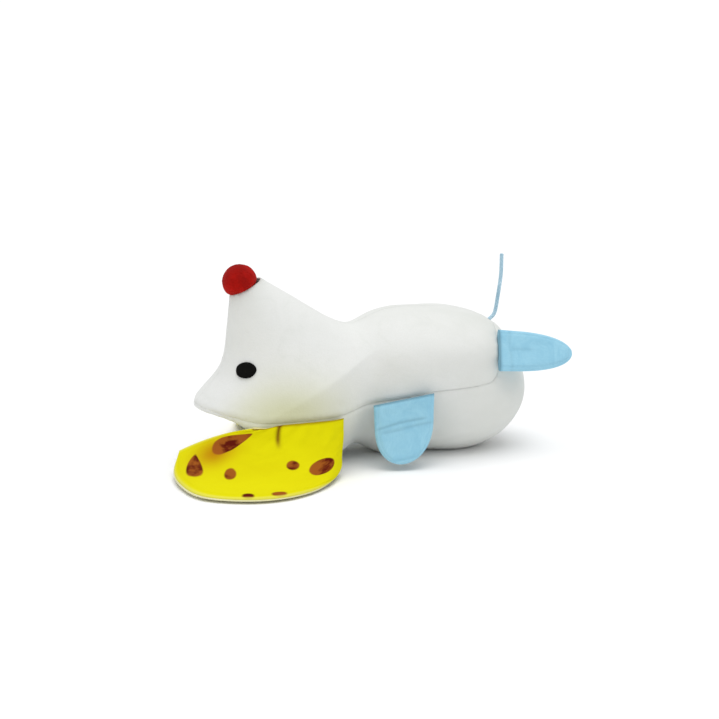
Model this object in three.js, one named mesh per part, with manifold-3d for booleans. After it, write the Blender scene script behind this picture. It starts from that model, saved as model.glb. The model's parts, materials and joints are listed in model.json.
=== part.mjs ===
// Soft textile mouse that lies on its back, with a pull-cord clockwork shaker unit inside.
// Millimetres, +Z up, +X from the head to the feet, +Y to the mouse's left side.
import * as THREE from 'three';
import { mergeVertices } from 'three/addons/utils/BufferGeometryUtils.js';
import Module from 'manifold-3d';

const wasm = await Module();
wasm.setup();

// ---------------------------------------------------------------- driving dimensions
const FABRIC = 1.2;
const GAP = 0.3;
const SPHERE_DETAIL = 8;
const SPLIT_Z = 30;

const BODY_TOP = { c: [-1.7, 0, 46.4], r: [37, 32.5, 19.2] };
const SEAT = { c: [9.5, 0, 26.8], r: [35.5, 29, 28.3], blend: 12 };
const NECK = { c: [-19.4, 0, 31.4], r: [24.6, 27, 32.7], blend: 14 };
const HEAD = { c: [-75.5, 0, 21], r: [36.2, 31, 23.5], blend: 7 };
const SNOUT = { a: [-64.7, 0, 35.7], b: [-86, 0, 79], ra: 38, rb: 8.3, narrow: 1.22, blend: 17 };
// underside of the head: nearly level under the crown, then falling to the floor
const CROWN = { x: -100, z: 25, slope: -0.1 };
const NAPE = { x: -88, z: 15.7, slope: -1, weight: 0.7, blend: 8, edge: 5 };
const FLOOR_BLEND = 1.2;
const INNER_CENTRE = [-50, 0, 28];
const RAY_STRETCH = [75, 34, 38];

// height of the side seam along the body, then the seam that climbs to the cord exit
const SIDE_SEAM = [
  [-130, 29.5], [-112, 28.5], [-100, 26.5], [-88, 24.4], [-75, 24.6], [-62, 24.8], [-51, 25],
  [-35, 28], [-21, 30.3], [-7, 32.2], [4, 33], [14, 33.7], [20.6, 34.9], [23.6, 38.6], [24.6, 48],
  [26.4, 55.3], [28.6, 58.2], [31, 66],
];

const NOSE_CENTRE = [-89, 0, 81.8];
const NOSE_RADIUS = 7.7;
const NOSE_SINK = 3;
const SNOUT_AXIS = [-0.435, 0, 0.9];

const EYE_CENTRE = [-90.7, -15.2, 45.3];
const EYE_ACROSS = [7.7, -7.9, 1.1];
const EYE_LENGTH = 10;
const EYE_HEIGHT = 7.2;
const EYE_PROUD = 0.9;

const EAR_PLY = 1.1;
const EAR_LINING_LIFT = 1.4;
const EAR_BASE = [
  [-51.6, -30.6, 23.4], [-62, -34.3, 22.6], [-73, -35.1, 22.2], [-83, -34, 21.5], [-91, -31.2, 20.3],
];
const EAR_SAG = [[-51.6, -31.2, 16.6], [-64, -40, 5], [-79, -43.5, 2.8], [-95, -38, 5], [-105, -20, 15]];
const EAR_RIM = [
  [-53.7, -32.5, 6.5], [-57, -40.8, 2.4], [-70, -57.5, 1.4], [-86, -66, 1.4], [-103, -66, 1.4],
  [-121, -55.5, 1.5], [-126, -37, 1.8], [-124.5, -18, 3.4], [-119.5, -8.5, 9.3],
];
// the left ear is the same pattern piece, lying straight out and turned back towards the arm
const OUT_EAR_BASE = [
  [-51.6, -30.6, 23.4], [-62, -34.3, 22.7], [-73, -35.3, 22.2], [-82, -34.6, 21.6], [-89.5, -32.6, 20.6],
];
const OUT_EAR_SAG = [[-50, -33, 16], [-58, -44, 5], [-66, -48, 3], [-75, -45, 6], [-84, -38, 14.5]];
const OUT_EAR_RIM = [
  [-51.5, -33, 7.5], [-43, -44, 2.6], [-33, -54, 1.4], [-23, -66, 1.4], [-26, -80, 1.4],
  [-42, -88, 1.4], [-59, -86, 1.4], [-71.5, -71, 1.6], [-75, -53, 3.2], [-79, -42.5, 9],
];
const EAR_ACROSS = 16;
const EAR_ALONG = 7;

const FLAP_THICKNESS = 3;
const FLAP_EDGE = 0.9;
const ARM_HINGE = [-22.9, -30, 30.9];
const ARM_ALONG = [27.8, -3.7, 4.5];
const ARM_TIP = [-24.6, -37.4, 3.2];
const ARM_WIDTH = 27.6;
const FOOT_HINGE = [23.6, -24.4, 48.3];
const FOOT_ALONG = [2.6, 8.8, 16.8];
const FOOT_TIP = [59.4, -24.6, 44.4];
// the left foot has flopped inwards and down
const FOLDED_FOOT_TIP = [54.2, -11.8, 33.1];
const FOOT_WIDTH = 19.4;

const CORD_DIAMETER = 1.8;
const CORD_SIDES = 8;
const CORD_EXIT = [28.6, 0, 57.5];
const CORD_LAY = [
  [30.9, 0, 59.6], [32, 0, 62.6], [32.7, 0, 67], [33.4, 0, 72.5], [34, 0, 78], [34.5, 0, 87.4],
];

const CASE_CENTRE = [-1, 36];
const CASE_RADIUS = 23.2;
const CASE_WALL = 1.6;
const CASE_HALF = 14;
const LID_PLANE = 12;
const SCREW_SPOTS = [0, 155, 260];
const SCREW_RING = 19.2;
const MODULE = 0.8;
const WHEEL_TEETH = 24;
const PINION_TEETH = 10;
const DRUM_AXIS = [5, 27];
const IDLER_ANGLE = 151.9;
const ROTOR_ANGLE = 70.5;
const AXLE_RADIUS = 1.2;
const RUNNING_FIT = 0.1;
const DRUM_CORE = 6;
const DRUM_FLANGE = 10;
const COIL_RADIUS = 7.6;
const WEIGHT_RADIUS = 9;

// ---------------------------------------------------------------- small helpers
const v3 = (a) => new THREE.Vector3(a[0], a[1], a[2]);

function toManifold(geometry) {
  const bare = geometry.clone();
  bare.deleteAttribute('uv');
  bare.deleteAttribute('normal');
  const merged = mergeVertices(bare, 1e-4);
  return new wasm.Manifold(new wasm.Mesh({
    numProp: 3,
    vertProperties: Float32Array.from(merged.attributes.position.array),
    triVerts: Uint32Array.from(merged.index.array),
  }));
}

function toGeometry(solid) {
  const mesh = solid.getMesh();
  const geometry = new THREE.BufferGeometry();
  geometry.setAttribute('position', new THREE.BufferAttribute(Float32Array.from(mesh.vertProperties), 3));
  geometry.setIndex(new THREE.BufferAttribute(Uint32Array.from(mesh.triVerts), 1));
  return geometry;
}

function placed(geometry, x, y, z) {
  geometry.translate(x, y, z);
  return toManifold(geometry);
}

function box(x0, x1, y0, y1, z0, z1) {
  const geometry = new THREE.BoxGeometry(x1 - x0, y1 - y0, z1 - z0);
  return placed(geometry, (x0 + x1) / 2, (y0 + y1) / 2, (z0 + z1) / 2);
}

// round bar along Y from y0 to y1, centred on [x, z]
function bar(centre, radius, y0, y1, sides = 28) {
  const geometry = new THREE.CylinderGeometry(radius, radius, y1 - y0, sides);
  return placed(geometry, centre[0], (y0 + y1) / 2, centre[1]);
}

// flat outline in X and Z, swept along Y from y0 to y1
function plate(points, y0, y1) {
  const shape = new THREE.Shape(points.map((p) => new THREE.Vector2(p[0], p[1])));
  const geometry = new THREE.ExtrudeGeometry(shape, { depth: y1 - y0, bevelEnabled: false });
  geometry.rotateX(Math.PI / 2);
  geometry.translate(0, y1, 0);
  return toManifold(geometry);
}

function mirrored(geometry) {
  const copy = geometry.clone();
  copy.scale(1, -1, 1);
  const index = copy.index.array;
  for (let i = 0; i < index.length; i += 3) {
    const swap = index[i];
    index[i] = index[i + 1];
    index[i + 1] = swap;
  }
  return copy;
}

// ---------------------------------------------------------------- the stuffed shape as a distance field
function ellipsoidField(p, part) {
  const x = p.x - part.c[0];
  const y = p.y - part.c[1];
  const z = p.z - part.c[2];
  const [a, b, c] = part.r;
  const k0 = Math.hypot(x / a, y / b, z / c);
  const k1 = Math.hypot(x / (a * a), y / (b * b), z / (c * c));
  return k0 * (k0 - 1) / Math.max(k1, 1e-9);
}

function snoutField(p) {
  const point = new THREE.Vector3(p.x, p.y * SNOUT.narrow, p.z);
  const a = v3(SNOUT.a);
  const axis = v3(SNOUT.b).sub(a);
  const t = THREE.MathUtils.clamp(point.clone().sub(a).dot(axis) / axis.lengthSq(), 0, 1);
  const radius = SNOUT.ra + (SNOUT.rb - SNOUT.ra) * t;
  return point.distanceTo(a.addScaledVector(axis, t)) - radius;
}

function blendMin(a, b, k) {
  const h = Math.max(k - Math.abs(a - b), 0) / k;
  return Math.min(a, b) - h * h * h * k / 6;
}

function toyField(p) {
  let f = ellipsoidField(p, BODY_TOP);
  f = blendMin(f, ellipsoidField(p, SEAT), SEAT.blend);
  f = blendMin(f, ellipsoidField(p, NECK), NECK.blend);
  f = blendMin(f, ellipsoidField(p, HEAD), HEAD.blend);
  f = blendMin(f, snoutField(p), SNOUT.blend);
  const crown = CROWN.z + CROWN.slope * (p.x - CROWN.x) - p.z;
  const nape = NAPE.weight * (NAPE.z + NAPE.slope * (p.x - NAPE.x) - p.z);
  f = -blendMin(-f, -blendMin(crown, nape, NAPE.blend), NAPE.edge);
  return -blendMin(-f, p.z, FLOOR_BLEND);
}

function outwardNormal(p) {
  const e = 0.05;
  const n = new THREE.Vector3();
  for (const axis of ['x', 'y', 'z']) {
    const hi = p.clone();
    const lo = p.clone();
    hi[axis] += e;
    lo[axis] -= e;
    n[axis] = toyField(hi) - toyField(lo);
  }
  return n.normalize();
}

function surfacePoint(origin, direction, reach = 140) {
  let outside = reach;
  while (outside > 1 && toyField(origin.clone().addScaledVector(direction, outside)) > 0) {
    outside -= 1;
  }
  let inside = outside;
  outside += 1;
  for (let i = 0; i < 24; i += 1) {
    const middle = (inside + outside) / 2;
    if (toyField(origin.clone().addScaledVector(direction, middle)) > 0) {
      outside = middle;
    } else {
      inside = middle;
    }
  }
  return origin.clone().addScaledVector(direction, inside);
}

// closed skins at several offsets from the stuffed shape
const roundStart = new THREE.IcosahedronGeometry(1, SPHERE_DETAIL);
roundStart.deleteAttribute('uv');
roundStart.deleteAttribute('normal');
const roundMesh = mergeVertices(roundStart, 1e-4);
const skinPoints = [];
for (let i = 0; i < roundMesh.attributes.position.count; i += 1) {
  const direction = new THREE.Vector3().fromBufferAttribute(roundMesh.attributes.position, i);
  direction.multiply(v3(RAY_STRETCH)).normalize();
  const point = surfacePoint(v3(INNER_CENTRE), direction);
  skinPoints.push([point, outwardNormal(point)]);
}

function skin(offset) {
  const geometry = roundMesh.clone();
  skinPoints.forEach(([point, normal], i) => {
    const moved = point.clone().addScaledVector(normal, offset);
    geometry.attributes.position.setXYZ(i, moved.x, moved.y, moved.z);
  });
  return toManifold(geometry);
}

const outerSkin = skin(0);
const innerSkin = skin(-FABRIC);
const stuffingSkin = skin(-FABRIC - GAP);
const keepOut = skin(GAP);

// ---------------------------------------------------------------- cutting tools
const seamCurve = new THREE.SplineCurve(SIDE_SEAM.map((p) => new THREE.Vector2(p[0], p[1])));
const seamLine = seamCurve.getPoints(60).map((p) => [p.x, p.y]);
const upperOutline = seamLine.concat([[31, 130], [-130, 130]]);
const upperRegion = plate(upperOutline, -70, 70);
const seamAllowance = seamLine.map((p) => [p[0], p[1] - GAP]);
const loweredOutline = seamAllowance.concat([[31 + GAP, 66], [31 + GAP, 130], [-130, 130]]);
const shiftedOutline = upperOutline.map((p) => [p[0] + GAP, p[1]]);
const widerRegion = plate(loweredOutline, -70, 70).add(plate(shiftedOutline, -70, 70));

const snoutAxis = v3(SNOUT_AXIS).normalize();
function aboveNosePlane(lift) {
  const geometry = new THREE.BoxGeometry(60, 60, 60);
  geometry.translate(0, 0, 30);
  const turn = new THREE.Quaternion().setFromUnitVectors(new THREE.Vector3(0, 0, 1), snoutAxis);
  geometry.applyQuaternion(turn);
  const foot = v3(NOSE_CENTRE).addScaledVector(snoutAxis, lift - NOSE_SINK);
  return placed(geometry, foot.x, foot.y, foot.z);
}

// pull cord: a straight run from the drum to the exit, then the free end
const drumToExit = new THREE.Vector2(CORD_EXIT[0] - DRUM_AXIS[0], CORD_EXIT[2] - DRUM_AXIS[1]);
const cordRadiusOnDrum = COIL_RADIUS + GAP + CORD_DIAMETER / 2;
const cordAngle = drumToExit.angle() - Math.asin(cordRadiusOnDrum / drumToExit.length());
const cordDirection = new THREE.Vector3(Math.cos(cordAngle), 0, Math.sin(cordAngle));
const cordStart = new THREE.Vector3(
  DRUM_AXIS[0] - Math.sin(cordAngle) * cordRadiusOnDrum,
  0,
  DRUM_AXIS[1] + Math.cos(cordAngle) * cordRadiusOnDrum,
);

function cordChannel(radius) {
  const reach = 50;
  const geometry = new THREE.CylinderGeometry(radius, radius, reach, 16);
  geometry.translate(0, reach / 2, 0);
  const turn = new THREE.Quaternion().setFromUnitVectors(new THREE.Vector3(0, 1, 0), cordDirection);
  geometry.applyQuaternion(turn);
  return placed(geometry, cordStart.x, cordStart.y, cordStart.z);
}

const channel = cordChannel(CORD_DIAMETER / 2 + GAP);
const looseChannel = cordChannel(CORD_DIAMETER / 2 + 2 * GAP);

// ---------------------------------------------------------------- covers and stuffing
const shell = outerSkin.subtract(innerSkin).subtract(aboveNosePlane(0)).subtract(channel);
const facePanels = shell.intersect(upperRegion);
const rightPanel = facePanels.intersect(box(-150, 60, -70, -GAP / 2, -5, 130));
const leftPanel = facePanels.intersect(box(-150, 60, GAP / 2, 70, -5, 130));
const backPanel = shell.subtract(widerRegion);

const caseCavity = bar(CASE_CENTRE, CASE_RADIUS + GAP, -CASE_HALF - 2 * GAP, CASE_HALF + 6 * GAP, 32);
const stuffing = stuffingSkin.subtract(aboveNosePlane(-GAP)).subtract(caseCavity).subtract(looseChannel);
const upperStuffing = stuffing.intersect(box(-150, 80, -70, 70, SPLIT_Z + GAP / 2, 130));
const lowerStuffing = stuffing.intersect(box(-150, 80, -70, 70, -5, SPLIT_Z - GAP / 2));

// ---------------------------------------------------------------- nose and eyes
const noseBall = placed(new THREE.SphereGeometry(NOSE_RADIUS, 22, 14), ...NOSE_CENTRE);
const nose = noseBall.intersect(aboveNosePlane(GAP));

function eyeSolid() {
  const geometry = new THREE.SphereGeometry(1, 20, 12);
  geometry.scale(EYE_LENGTH / 2, EYE_HEIGHT / 2, EYE_PROUD + 1.2);
  const out = outwardNormal(v3(EYE_CENTRE));
  const across = v3(EYE_ACROSS).addScaledVector(out, -v3(EYE_ACROSS).dot(out)).normalize();
  const up = out.clone().cross(across);
  geometry.applyMatrix4(new THREE.Matrix4().makeBasis(across, up, out));
  const seat = v3(EYE_CENTRE).addScaledVector(out, -0.8);
  return placed(geometry, seat.x, seat.y, seat.z).subtract(keepOut);
}

// ---------------------------------------------------------------- ears
const throughPoints = (points) => new THREE.CatmullRomCurve3(points.map(v3));
const sweptEar = [EAR_BASE, EAR_SAG, EAR_RIM].map(throughPoints);
const outEar = [OUT_EAR_BASE, OUT_EAR_SAG, OUT_EAR_RIM].map(throughPoints);

function earPoint([base, sag, rim], u, v) {
  const p = base.getPointAt(u).multiplyScalar((1 - v) * (1 - v));
  p.addScaledVector(sag.getPointAt(u), 2 * v * (1 - v));
  return p.addScaledVector(rim.getPointAt(u), v * v);
}

function earUp(ear, u, v) {
  const e = 0.01;
  const du = earPoint(ear, Math.min(u + e, 1), v).sub(earPoint(ear, Math.max(u - e, 0), v));
  const dv = earPoint(ear, u, Math.min(v + e, 1)).sub(earPoint(ear, u, Math.max(v - e, 0)));
  return du.cross(dv).normalize();
}

function earPly(ear, lift, thickness = EAR_PLY) {
  const geometry = new THREE.BoxGeometry(1, 1, thickness, EAR_ACROSS, EAR_ALONG, 1);
  const position = geometry.attributes.position;
  for (let i = 0; i < position.count; i += 1) {
    const u = position.getX(i) + 0.5;
    const v = position.getY(i) + 0.5;
    const p = earPoint(ear, u, v).addScaledVector(earUp(ear, u, v), lift + position.getZ(i));
    position.setXYZ(i, p.x, p.y, p.z);
  }
  return toManifold(geometry);
}

function earLining(ear) {
  return toGeometry(earPly(ear, EAR_LINING_LIFT).subtract(earPly(ear, 0, EAR_PLY + GAP)));
}

// ---------------------------------------------------------------- arms and feet: flat felt flaps
function flap(hinge, along, tip, width, shoulder, fullness) {
  const length = v3(tip).distanceTo(v3(hinge));
  const half = width / 2 - FLAP_EDGE;
  const shape = new THREE.Shape();
  shape.moveTo(-half, -FLAP_EDGE - GAP);
  shape.lineTo(-half * 0.97, -length * shoulder);
  const end = FLAP_EDGE - length;
  shape.bezierCurveTo(-half * 0.93, end * fullness, -half * 0.42, end, 0, end);
  shape.bezierCurveTo(half * 0.42, end, half * 0.93, end * fullness, half * 0.97, -length * shoulder);
  shape.lineTo(half, -FLAP_EDGE - GAP);
  shape.closePath();
  const geometry = new THREE.ExtrudeGeometry(shape, {
    depth: FLAP_THICKNESS - 2 * FLAP_EDGE,
    bevelEnabled: true,
    bevelThickness: FLAP_EDGE,
    bevelSize: FLAP_EDGE,
    bevelSegments: 2,
    curveSegments: 10,
  });
  geometry.translate(0, 0, FLAP_EDGE - FLAP_THICKNESS / 2);
  const down = v3(tip).sub(v3(hinge)).normalize();
  const across = v3(along).normalize();
  const face = across.clone().cross(down).normalize();
  const basis = new THREE.Matrix4().makeBasis(across, down.clone().negate(), face.clone().negate());
  basis.setPosition(v3(hinge));
  geometry.applyMatrix4(basis);
  return toManifold(geometry).subtract(keepOut);
}

// ---------------------------------------------------------------- clockwork unit
const centreDistance = MODULE * (WHEEL_TEETH + PINION_TEETH) / 2;
function stepFrom(point, degrees, distance) {
  const a = THREE.MathUtils.degToRad(degrees);
  return [point[0] + distance * Math.cos(a), point[1] + distance * Math.sin(a)];
}
const IDLER_AXIS = stepFrom(DRUM_AXIS, IDLER_ANGLE, centreDistance);
const ROTOR_AXIS = stepFrom(IDLER_AXIS, ROTOR_ANGLE, centreDistance);

// toothed outline with a tooth centred on the given angle
function toothOutline(centre, teeth, toothAngle) {
  const pitch = MODULE * teeth / 2;
  const step = 2 * Math.PI / teeth;
  const profile = [
    [-0.36, pitch - 0.9 * MODULE], [-0.23, pitch - 0.05 * MODULE], [-0.11, pitch + 0.62 * MODULE],
    [0.11, pitch + 0.62 * MODULE], [0.23, pitch - 0.05 * MODULE], [0.36, pitch - 0.9 * MODULE],
  ];
  const points = [];
  for (let i = 0; i < teeth; i += 1) {
    for (const [fraction, radius] of profile) {
      const a = THREE.MathUtils.degToRad(toothAngle) + (i + fraction) * step;
      points.push([centre[0] + radius * Math.cos(a), centre[1] + radius * Math.sin(a)]);
    }
  }
  return points;
}

function gear(centre, teeth, toothAngle, y0, y1) {
  return plate(toothOutline(centre, teeth, toothAngle), y0, y1);
}

const axleHole = (centre, y0, y1) => bar(centre, AXLE_RADIUS + RUNNING_FIT, y0, y1, 24);

const screwSpots = SCREW_SPOTS.map((angle) => stepFrom(CASE_CENTRE, angle, SCREW_RING));

let cup = bar(CASE_CENTRE, CASE_RADIUS, -CASE_HALF, LID_PLANE - GAP, 32);
let hollow = bar(CASE_CENTRE, CASE_RADIUS - CASE_WALL, CASE_WALL - CASE_HALF, LID_PLANE + 1, 32);
for (const spot of screwSpots) {
  hollow = hollow.subtract(bar(spot, 2.9, -CASE_HALF, LID_PLANE + 2, 16));
}
cup = cup.subtract(hollow);
let lid = bar(CASE_CENTRE, CASE_RADIUS, LID_PLANE, CASE_HALF, 32);
const springPost = stepFrom(DRUM_AXIS, -60, 9.6);
cup = cup.add(bar(springPost, 0.8, -CASE_HALF + 0.5, -5, 10));
for (const spot of screwSpots) {
  cup = cup.subtract(bar(spot, 1.3, -2, LID_PLANE + 2, 14));
  lid = lid.subtract(bar(spot, 1.3, LID_PLANE - 2, CASE_HALF + 2, 14));
}
for (const axis of [DRUM_AXIS, IDLER_AXIS, ROTOR_AXIS]) {
  cup = cup.subtract(axleHole(axis, -CASE_HALF - 1, -CASE_HALF + 3));
  lid = lid.subtract(axleHole(axis, LID_PLANE - 1, CASE_HALF + 1));
}
cup = cup.subtract(channel);

const axle = (centre) => bar(centre, AXLE_RADIUS, -CASE_HALF + 0.1, CASE_HALF - 0.1, 24);

function screw(spot) {
  const shank = bar(spot, 1, 2, CASE_HALF + 0.6, 12);
  const head = bar(spot, 2, CASE_HALF + GAP, CASE_HALF + 1.5, 16);
  const [x, z] = spot;
  const slot = box(x - 1.4, x + 1.4, CASE_HALF + 1.1, CASE_HALF + 2, z - 0.25, z + 0.25);
  return shank.add(head).subtract(slot);
}

let drum = bar(DRUM_AXIS, DRUM_CORE, -2.6, 3.4, 32);
drum = drum.add(bar(DRUM_AXIS, DRUM_FLANGE, -3.4, -2.2, 36));
drum = drum.add(bar(DRUM_AXIS, DRUM_FLANGE, 2.2, 3.4, 36));
drum = drum.add(bar(DRUM_AXIS, 4.5, 3, 5, 24));
drum = drum.add(bar(DRUM_AXIS, 2.2, -11.6, -3, 20));
drum = drum.add(gear(DRUM_AXIS, WHEEL_TEETH, IDLER_ANGLE, 4.3, 7.1));
drum = drum.add(bar(DRUM_AXIS, 2.2, 6.8, 11.5, 20));
drum = drum.subtract(axleHole(DRUM_AXIS, -15, 15));

const coilRing = bar(DRUM_AXIS, COIL_RADIUS, -1.9, 1.9, 24);
let coil = coilRing.subtract(bar(DRUM_AXIS, DRUM_CORE + GAP, -3, 3, 24));
for (const y of [-0.95, 0.95]) {
  const groove = new THREE.TorusGeometry(COIL_RADIUS + 0.15, 0.35, 4, 24);
  groove.rotateX(Math.PI / 2);
  coil = coil.subtract(placed(groove, DRUM_AXIS[0], y, DRUM_AXIS[1]));
}

// flat spiral spring, inner end at the drum's hub and outer end at the case post
class SpiralCurve extends THREE.Curve {
  getPoint(t, target = new THREE.Vector3()) {
    const angle = THREE.MathUtils.degToRad(-60) - (1 - t) * 2 * Math.PI * 3.6;
    const radius = 2.9 + (8.1 - 2.9) * t;
    return target.set(DRUM_AXIS[0] + radius * Math.cos(angle), 0, DRUM_AXIS[1] + radius * Math.sin(angle));
  }
}
const spiral = new SpiralCurve();
const stripInner = [];
const stripOuter = [];
const SPIRAL_STEPS = 76;
for (let i = 0; i <= SPIRAL_STEPS; i += 1) {
  const p = spiral.getPoint(i / SPIRAL_STEPS);
  const out = new THREE.Vector2(p.x - DRUM_AXIS[0], p.z - DRUM_AXIS[1]).normalize();
  stripInner.push([p.x - out.x * 0.2, p.z - out.y * 0.2]);
  stripOuter.push([p.x + out.x * 0.2, p.z + out.y * 0.2]);
}
const mainspring = plate(stripInner.concat(stripOuter.reverse()), -11, -5);

// the idler's pinion sits in the drum wheel's gap; its wheel drives the rotor pinion
const halfPinion = 180 / PINION_TEETH;
const halfWheel = 180 / WHEEL_TEETH;
let idler = gear(IDLER_AXIS, PINION_TEETH, IDLER_ANGLE + 180 + halfPinion, 4, 7.8);
idler = idler.add(gear(IDLER_AXIS, WHEEL_TEETH, ROTOR_ANGLE, 7.6, 10.4));
idler = idler.add(bar(IDLER_AXIS, 2.2, -11.6, 4.2, 20));
idler = idler.add(bar(IDLER_AXIS, 2.2, 10.2, 11.5, 20));
idler = idler.subtract(axleHole(IDLER_AXIS, -15, 15));

let rotor = gear(ROTOR_AXIS, PINION_TEETH, ROTOR_ANGLE + 180 + halfPinion, 7.6, 10.4);
rotor = rotor.add(bar(ROTOR_AXIS, 2.4, -11.6, 11.5, 20));
rotor = rotor.add(bar(ROTOR_AXIS, WEIGHT_RADIUS, 1.6, 2.8, 32));
rotor = rotor.subtract(axleHole(ROTOR_AXIS, -15, 15));

let weight = bar(ROTOR_AXIS, WEIGHT_RADIUS, -7.5, 1.6 - GAP, 32);
weight = weight.subtract(bar(ROTOR_AXIS, 2.4 + GAP, -9, 3, 20));
const [rotorX, rotorZ] = ROTOR_AXIS;
weight = weight.subtract(box(rotorX - 12, rotorX + 12, -9, 3, rotorZ + 0.5, rotorZ + 12));

// ---------------------------------------------------------------- pull cord
const cordPath = new THREE.CurvePath();
const exitPoint = cordStart.clone().addScaledVector(cordDirection, cordStart.distanceTo(v3(CORD_EXIT)));
cordPath.add(new THREE.LineCurve3(cordStart, exitPoint));
const freeEnd = new THREE.CatmullRomCurve3([exitPoint, ...CORD_LAY.map(v3)], false, 'centripetal');
cordPath.add(freeEnd);
const cordShape = new THREE.Shape();
for (let i = 0; i < CORD_SIDES; i += 1) {
  const a = (i + 0.5) * 2 * Math.PI / CORD_SIDES;
  const r = CORD_DIAMETER / 2;
  if (i === 0) {
    cordShape.moveTo(r * Math.cos(a), r * Math.sin(a));
  } else {
    cordShape.lineTo(r * Math.cos(a), r * Math.sin(a));
  }
}
cordShape.closePath();
const cordGeometry = new THREE.ExtrudeGeometry(cordShape, {
  steps: 36,
  extrudePath: cordPath,
  bevelEnabled: false,
});

// ---------------------------------------------------------------- assemble
const toy = new THREE.Group();
toy.name = 'clockwork_mouse';
const pieces = [];

function addPiece(name, geometry, colour, roughness = 0.9, metalness = 0) {
  const material = new THREE.MeshStandardMaterial({ color: colour, roughness, metalness });
  material.name = name;
  const mesh = new THREE.Mesh(geometry, material);
  mesh.name = name;
  pieces.push(mesh);
  toy.add(mesh);
}

function addSolid(name, solid, colour, roughness, metalness) {
  addPiece(name, toGeometry(solid), colour, roughness, metalness);
}

function addPair(name, geometry, colour) {
  addPiece(`${name}_right`, geometry, colour);
  addPiece(`${name}_left`, mirrored(geometry), colour);
}

const WHITE = '#e6e7e3';
const PALE_BLUE = '#9acce0';
addSolid('face_belly_panel_right', rightPanel, WHITE);
addSolid('face_belly_panel_left', leftPanel, WHITE);
addSolid('back_panel', backPanel, '#cfd3d1');
addSolid('stuffing_upper', upperStuffing, '#f4f4f2');
addSolid('stuffing_lower', lowerStuffing, '#f4f4f2');
addSolid('nose', nose, '#a0140a');
addPair('eye', toGeometry(eyeSolid()), '#10110c');

addPiece('ear_lining_right', earLining(sweptEar), '#e6dc1e');
addPiece('ear_backing_right', toGeometry(earPly(sweptEar, 0)), '#efe9cf');
addPiece('ear_lining_left', mirrored(earLining(outEar)), '#e6dc1e');
addPiece('ear_backing_left', mirrored(toGeometry(earPly(outEar, 0))), '#efe9cf');
addPair('arm', toGeometry(flap(ARM_HINGE, ARM_ALONG, ARM_TIP, ARM_WIDTH, 0.42, 0.86)), PALE_BLUE);
const foot = flap(FOOT_HINGE, FOOT_ALONG, FOOT_TIP, FOOT_WIDTH, 0.24, 0.78);
const foldedFoot = flap(FOOT_HINGE, FOOT_ALONG, FOLDED_FOOT_TIP, FOOT_WIDTH, 0.24, 0.78);
addPiece('foot_right', toGeometry(foot), PALE_BLUE);
addPiece('foot_left', mirrored(toGeometry(foldedFoot)), PALE_BLUE);

addSolid('case_cup', cup, '#d8d8d2', 0.5);
addSolid('case_lid', lid, '#d8d8d2', 0.5);
screwSpots.forEach((spot, i) => addSolid(`case_screw_${i + 1}`, screw(spot), '#b8babd', 0.35, 0.9));
addSolid('drum_axle', axle(DRUM_AXIS), '#c0c2c4', 0.3, 0.9);
addSolid('idler_axle', axle(IDLER_AXIS), '#c0c2c4', 0.3, 0.9);
addSolid('rotor_axle', axle(ROTOR_AXIS), '#c0c2c4', 0.3, 0.9);
addSolid('cord_drum', drum, '#f0f0ec', 0.5);
addSolid('cord_wound', coil, '#a8cfe2');
addSolid('mainspring', mainspring, '#8d9094', 0.35, 0.9);
addSolid('idler_gear', idler, '#f0f0ec', 0.5);
addSolid('shaker_rotor', rotor, '#f0f0ec', 0.5);
addSolid('shaker_weight', weight, '#9a9c9f', 0.4, 0.9);
addPiece('pull_cord', cordGeometry, '#a8cfe2');

// row frame: the centre of the base of everything but the cord
const extent = new THREE.Box3();
for (const mesh of pieces) {
  if (mesh.name !== 'pull_cord') {
    extent.expandByObject(mesh);
  }
}
const middle = extent.getCenter(new THREE.Vector3());
for (const mesh of pieces) {
  mesh.geometry.translate(-middle.x, -middle.y, -extent.min.z);
}

export default toy;
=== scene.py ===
"""Soft textile mouse that lies on its back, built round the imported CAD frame. Metres, +Z up."""

import json
import math

import bmesh
import bpy
import numpy as np
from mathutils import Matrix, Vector, noise


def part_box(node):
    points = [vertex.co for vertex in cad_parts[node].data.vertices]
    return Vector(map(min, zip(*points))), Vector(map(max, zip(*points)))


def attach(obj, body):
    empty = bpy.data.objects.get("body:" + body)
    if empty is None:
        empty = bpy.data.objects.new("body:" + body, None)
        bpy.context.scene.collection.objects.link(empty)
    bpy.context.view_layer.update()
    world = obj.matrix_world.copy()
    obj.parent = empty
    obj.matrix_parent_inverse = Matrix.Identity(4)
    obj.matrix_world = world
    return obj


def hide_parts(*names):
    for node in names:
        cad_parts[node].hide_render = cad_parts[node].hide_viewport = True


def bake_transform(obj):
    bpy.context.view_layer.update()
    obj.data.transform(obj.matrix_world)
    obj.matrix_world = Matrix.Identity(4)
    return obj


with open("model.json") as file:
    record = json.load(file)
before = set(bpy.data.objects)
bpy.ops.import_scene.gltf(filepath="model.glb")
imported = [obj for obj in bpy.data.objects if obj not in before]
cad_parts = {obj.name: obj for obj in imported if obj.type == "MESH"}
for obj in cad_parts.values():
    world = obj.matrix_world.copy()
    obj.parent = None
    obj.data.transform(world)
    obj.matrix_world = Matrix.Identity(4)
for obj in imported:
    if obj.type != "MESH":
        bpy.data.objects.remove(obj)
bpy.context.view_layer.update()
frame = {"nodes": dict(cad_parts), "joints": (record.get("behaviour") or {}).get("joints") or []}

MM = 0.001
# The pattern is drawn in millimetres with the drum axle at (5, 0, 27).
axle_low, axle_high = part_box("drum_axle")
SHIFT = np.array((axle_low + axle_high) / 2) / MM - np.array([5.0, 0.0, 27.0])
JOINTS = {j["name"]: j for j in frame["joints"]}


def to_row(points):
    """Pattern millimetres to row-frame metres."""
    return (np.asarray(points, float) + SHIFT) * MM


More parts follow.
